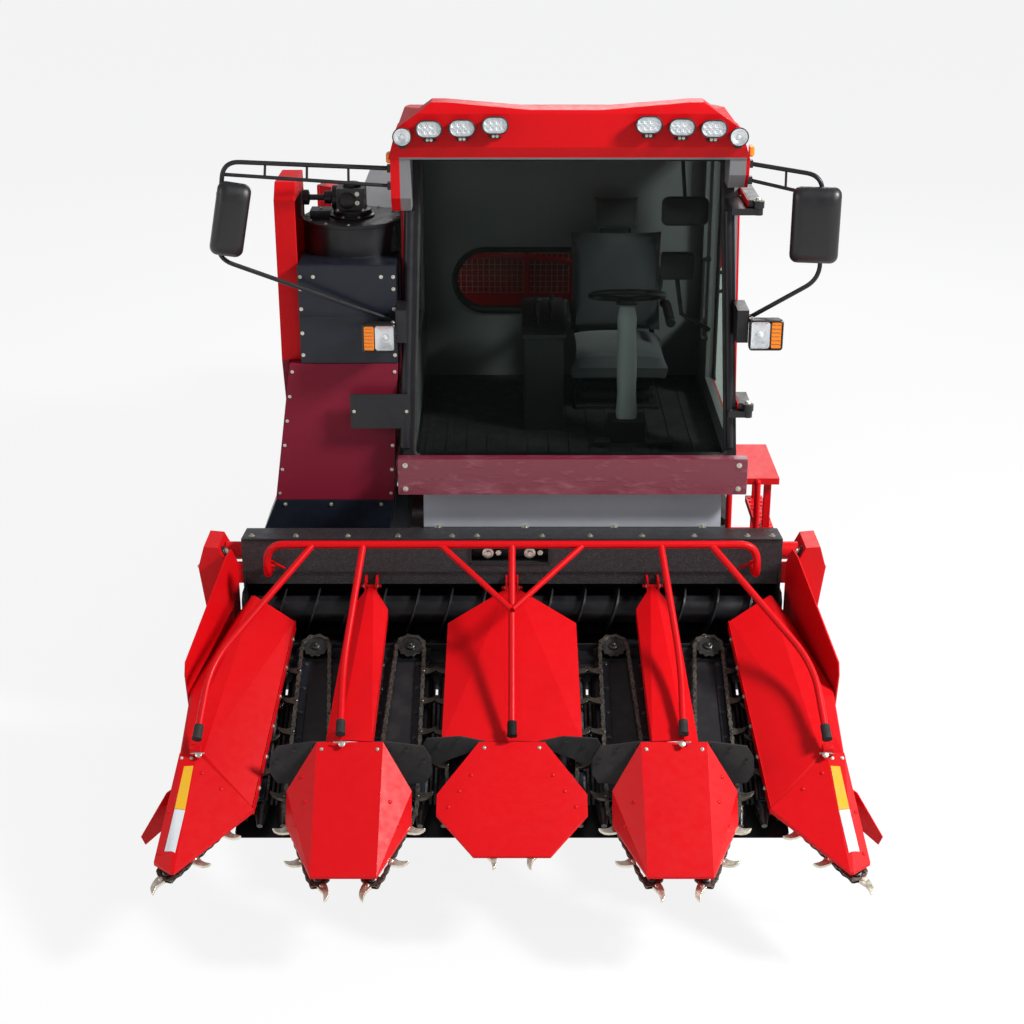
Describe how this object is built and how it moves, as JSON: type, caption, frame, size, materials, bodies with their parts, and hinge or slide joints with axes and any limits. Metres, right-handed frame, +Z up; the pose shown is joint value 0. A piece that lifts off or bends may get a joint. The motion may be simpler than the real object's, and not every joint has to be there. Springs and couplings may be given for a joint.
{
  "type": "forage harvester",
  "caption": "Self-propelled row-crop forage harvester with a lifting row header, glazed cab, thrower tower, side-tipping bin and rear steering.",
  "frame": {"origin": "on the ground, at the middle of the bounding box", "axes": "+X to the machine's left, -Y to the front, +Z up"},
  "size_m": [2.9632, 6.341, 3.135],
  "materials": {
    "red_paint": "gloss",
    "black_paint": "satin",
    "black_hammer": "textured",
    "navy_paint": "satin",
    "grey_paint": "satin",
    "cast": "matte",
    "steel": "satin",
    "chromed": "polished",
    "lamp": "gloss",
    "seat_cloth": "woven",
    "tinted_glass": "polished",
    "flap_rubber": "matte",
    "tyre": "matte"
  },
  "bodies": {
    "machine": {"chassis_frame": "black_paint", "frame_stands": "black_paint", "front_axle": "black_paint", "rear_axle": "black_paint", "engine_block": "cast", "engine_hood": "red_paint", "fuel_tank": "black_paint", "side_panels": "red_paint", "cab_floor": "black_paint", "cab_front": "black_paint", "cab_glass": "tinted_glass", "cab_side_right": "red_paint", "cab_rear_wall": "red_paint", "cab_roof": "red_paint", "lamps": "lamp", "seat": "seat_cloth", "steering_console": "black_paint", "front_bumper": "red_paint", "mirrors": "black_paint", "tower_casing": "navy_paint", "tower_cover": "red_paint", "tower_drum": "black_hammer", "discharge_chute": "grey_paint", "ladder": "red_paint"},
    "header": {"header_beam": "black_hammer", "header_trough": "black_paint", "row_decks": "black_paint", "end_shields": "red_paint", "divider_noses": "red_paint", "divider_covers": "red_paint", "gather_chains": "steel", "stalk_rail": "red_paint", "ear_flaps": "flap_rubber"},
    "auger": {"header_auger": "grey_paint"},
    "wheel_fl": {"tyre_front_left": "tyre", "rim_front_left": "grey_paint"},
    "wheel_fr": {"tyre_front_right": "tyre", "rim_front_right": "grey_paint"},
    "wheel_rl": {"tyre_rear_left": "tyre", "rim_rear_left": "grey_paint"},
    "wheel_rr": {"tyre_rear_right": "tyre", "rim_rear_right": "grey_paint"},
    "knuckle_l": {"knuckle_left": "black_paint"},
    "knuckle_r": {"knuckle_right": "black_paint"},
    "tie": {"tie_rod": "steel"},
    "lift_base": {"lift_barrels": "black_paint"},
    "lift_rod": {"lift_rods": "chromed"},
    "door": {"cab_door": "red_paint", "door_glass": "tinted_glass"},
    "bin_body": {"bin": "red_paint"},
    "bin_base": {"bin_barrel": "black_paint"},
    "bin_ram": {"bin_rod": "chromed"},
    "roll1": {"roll_1": "steel"},
    "roll2": {"roll_2": "steel"},
    "roll3": {"roll_3": "steel"},
    "roll4": {"roll_4": "steel"},
    "roll5": {"roll_5": "steel"},
    "roll6": {"roll_6": "steel"},
    "roll7": {"roll_7": "steel"},
    "roll8": {"roll_8": "steel"}
  },
  "joints": [
    {"name": "header_lift", "type": "hinge", "parent": "machine", "child": "header", "pos_m": [0, -1, 1.25], "axis": [-1, 0, 0], "range_deg": [-9, 14]},
    {"name": "lift_base_swing", "type": "hinge", "parent": "machine", "child": "lift_base", "pos_m": [0, -1.12, 0.65], "axis": [-1, 0, 0], "range_deg": [-4.78, 7.38]},
    {"name": "lift_rod_slide", "type": "slide", "parent": "lift_base", "child": "lift_rod", "axis": [0, -0.817, 0.5767], "range_m": [-0.0875, 0.1359]},
    {"name": "auger_spin", "type": "hinge", "parent": "header", "child": "auger", "pos_m": [0, -1.75, 0.95], "axis": [1, 0, 0], "continuous": true},
    {"name": "roll1_spin", "type": "hinge", "parent": "header", "child": "roll1", "pos_m": [-1.023, -2.26173, 0.6698], "axis": [0, -0.9171, -0.3987], "continuous": true},
    {"name": "roll2_spin", "type": "hinge", "parent": "header", "child": "roll2", "pos_m": [-0.927, -2.26173, 0.6698], "axis": [0, -0.9171, -0.3987], "continuous": true},
    {"name": "roll3_spin", "type": "hinge", "parent": "header", "child": "roll3", "pos_m": [-0.373, -2.26173, 0.6698], "axis": [0, -0.9171, -0.3987], "continuous": true},
    {"name": "roll4_spin", "type": "hinge", "parent": "header", "child": "roll4", "pos_m": [-0.277, -2.26173, 0.6698], "axis": [0, -0.9171, -0.3987], "continuous": true},
    {"name": "roll5_spin", "type": "hinge", "parent": "header", "child": "roll5", "pos_m": [0.277, -2.26173, 0.6698], "axis": [0, -0.9171, -0.3987], "continuous": true},
    {"name": "roll6_spin", "type": "hinge", "parent": "header", "child": "roll6", "pos_m": [0.373, -2.26173, 0.6698], "axis": [0, -0.9171, -0.3987], "continuous": true},
    {"name": "roll7_spin", "type": "hinge", "parent": "header", "child": "roll7", "pos_m": [0.927, -2.26173, 0.6698], "axis": [0, -0.9171, -0.3987], "continuous": true},
    {"name": "roll8_spin", "type": "hinge", "parent": "header", "child": "roll8", "pos_m": [1.023, -2.26173, 0.6698], "axis": [0, -0.9171, -0.3987], "continuous": true},
    {"name": "wheel_fl_spin", "type": "hinge", "parent": "machine", "child": "wheel_fl", "pos_m": [0.9, -0.35, 0.6], "axis": [1, 0, 0], "continuous": true},
    {"name": "wheel_fr_spin", "type": "hinge", "parent": "machine", "child": "wheel_fr", "pos_m": [-0.9, -0.35, 0.6], "axis": [1, 0, 0], "continuous": true},
    {"name": "steer_left", "type": "hinge", "parent": "machine", "child": "knuckle_l", "pos_m": [0.64, 2.43, 0.4], "axis": [0, 0, 1], "range_deg": [-35, 35]},
    {"name": "steer_right", "type": "hinge", "parent": "machine", "child": "knuckle_r", "pos_m": [-0.64, 2.43, 0.4], "axis": [0, 0, 1], "range_deg": [-35, 35]},
    {"name": "wheel_rl_spin", "type": "hinge", "parent": "knuckle_l", "child": "wheel_rl", "pos_m": [0.8, 2.43, 0.4], "axis": [1, 0, 0], "continuous": true},
    {"name": "wheel_rr_spin", "type": "hinge", "parent": "knuckle_r", "child": "wheel_rr", "pos_m": [-0.8, 2.43, 0.4], "axis": [1, 0, 0], "continuous": true},
    {"name": "tie_swing", "type": "hinge", "parent": "knuckle_l", "child": "tie", "pos_m": [0.64, 2.62, 0.278], "axis": [0, 0, 1], "range_deg": [-35, 35]},
    {"name": "door_swing", "type": "hinge", "parent": "machine", "child": "door", "pos_m": [1.052, -1.458, 2.2], "axis": [0, 0, -1], "range_deg": [0, 78]},
    {"name": "bin_tip", "type": "hinge", "parent": "machine", "child": "bin_body", "pos_m": [1, 1, 1.44], "axis": [0, 1, 0], "range_deg": [0, 45]},
    {"name": "bin_base_swing", "type": "hinge", "parent": "machine", "child": "bin_base", "pos_m": [0.7, 1, 0.88], "axis": [0, 1, 0], "range_deg": [0, 18.46]},
    {"name": "bin_ram_slide", "type": "slide", "parent": "bin_base", "child": "bin_ram", "axis": [-0.4233, 0, 0.906], "range_m": [0, 0.3571]}
  ],
  "couplings": [
    {"joint": "lift_base_swing", "follows": "header_lift", "ratio": 0.52},
    {"joint": "lift_rod_slide", "follows": "header_lift", "m_per_rad": 0.554},
    {"joint": "steer_right", "follows": "steer_left", "ratio": 1},
    {"joint": "tie_swing", "follows": "steer_left", "ratio": -1},
    {"joint": "bin_base_swing", "follows": "bin_tip", "ratio": 0.408},
    {"joint": "bin_ram_slide", "follows": "bin_tip", "m_per_rad": 0.454},
    {"joint": "roll2_spin", "follows": "roll1_spin", "ratio": -1},
    {"joint": "roll3_spin", "follows": "roll1_spin", "ratio": 1},
    {"joint": "roll4_spin", "follows": "roll1_spin", "ratio": -1},
    {"joint": "roll5_spin", "follows": "roll1_spin", "ratio": 1},
    {"joint": "roll6_spin", "follows": "roll1_spin", "ratio": -1},
    {"joint": "roll7_spin", "follows": "roll1_spin", "ratio": 1},
    {"joint": "roll8_spin", "follows": "roll1_spin", "ratio": -1}
  ]
}
